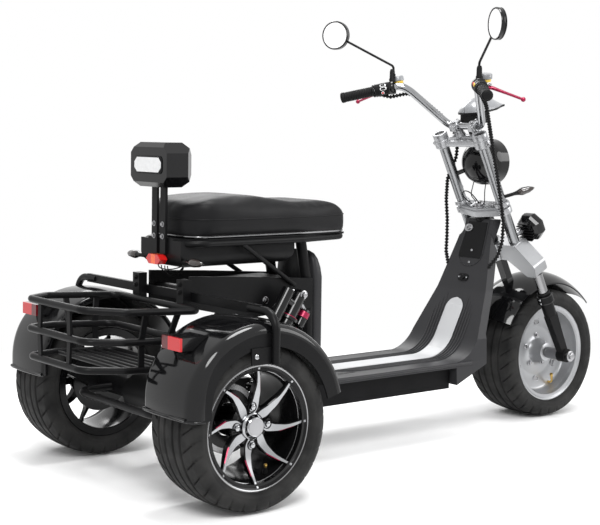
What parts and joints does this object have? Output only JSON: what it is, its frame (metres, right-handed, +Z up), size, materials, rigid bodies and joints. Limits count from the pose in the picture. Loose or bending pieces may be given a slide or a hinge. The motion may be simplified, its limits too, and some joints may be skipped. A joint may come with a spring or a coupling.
{
  "type": "motorized trike",
  "caption": "Step-through electric trike with raked fork, pull-back handlebar, long seat with backrest, wide tyres, rear fenders and a luggage basket.",
  "frame": {"origin": "on the ground below the middle of the bounding box", "axes": "+X forward, +Y to the rider's left, +Z up"},
  "size_m": [2.184, 1.046, 1.3917],
  "materials": {
    "tyre": "matt moulded rubber with road tread",
    "rubber": "matt black rubber",
    "black_metal": "black powder coat",
    "gloss_shell": "gloss black shell",
    "grey_plastic": "dark grey satin moulded plastic",
    "black_plastic": "black moulded plastic",
    "silver_plastic": "ribbed silver grip strip",
    "silver_paint": "silver paint",
    "bright_alloy": "bright cast alloy",
    "machined_alloy": "machined faces over black paint",
    "steel": "bright turned steel",
    "chrome": "polished chrome",
    "red_metal": "red anodised finish",
    "seat_cover": "black stitched leatherette",
    "red_lens": "red lens",
    "smoked_lens": "smoked amber lens",
    "clear_lens": "clear faceted lens",
    "mirror": "mirror glass"
  },
  "bodies": {
    "chassis": {"battery_box": "black_metal", "leg_shield": "grey_plastic", "grip_strip": "silver_plastic", "frame": "black_metal", "rear_frame": "black_metal", "controller_box": "black_plastic", "pillar_cover": "grey_plastic", "seat_pan": "black_metal", "seat_tray": "black_plastic", "seat_cushion": "seat_cover", "backrest_posts": "black_metal", "backrest_pad": "gloss_shell", "backrest_reflector": "clear_lens", "tail_light": "red_lens", "rear_indicators": "smoked_lens", "rear_fenders": "gloss_shell", "fender_reflectors": "red_lens", "fender_hoop": "black_metal", "basket": "black_metal", "rear_axle": "black_metal", "swing_arm": "black_metal", "shock_bodies": "bright_alloy", "shock_springs": "black_metal", "rear_bumper": "black_metal", "rear_calipers": "red_metal"},
    "steering": {"fork_crown": "silver_paint", "fork_clamps": "bright_alloy", "fork_tubes": "chrome", "fork_stanchions": "chrome", "fork_legs": "black_metal", "front_axle": "steel", "front_fender": "gloss_shell", "handlebar": "chrome", "grips": "rubber", "switch_housings": "black_plastic", "levers": "red_metal", "mirrors": "black_plastic", "mirror_glass": "mirror", "headlight": "gloss_shell", "headlight_lens": "clear_lens", "instrument_pod": "black_plastic", "spot_lights": "black_plastic", "front_indicators": "smoked_lens", "control_looms": "rubber"},
    "front_wheel": {"front_tyre": "tyre", "front_rim": "silver_paint"},
    "rear_wheel_left": {"rear_tyre_left": "tyre", "rear_alloy_left": "machined_alloy", "rear_hub_left": "steel"},
    "rear_wheel_right": {"rear_tyre_right": "tyre", "rear_alloy_right": "machined_alloy", "rear_hub_right": "steel"}
  },
  "joints": [
    {"name": "steer", "type": "hinge", "parent": "chassis", "child": "steering", "pos_m": [0.61865, 0, 0.68222], "axis": [-0.4478, 0, 0.8942], "range_deg": [-35, 35]},
    {"name": "front_spin", "type": "hinge", "parent": "steering", "child": "front_wheel", "pos_m": [0.864, 0, 0.228], "axis": [0, 1, 0], "continuous": true},
    {"name": "rear_spin_left", "type": "hinge", "parent": "chassis", "child": "rear_wheel_left", "pos_m": [-0.736, 0.384, 0.228], "axis": [0, 1, 0], "continuous": true},
    {"name": "rear_spin_right", "type": "hinge", "parent": "chassis", "child": "rear_wheel_right", "pos_m": [-0.736, -0.384, 0.228], "axis": [0, 1, 0], "continuous": true}
  ]
}
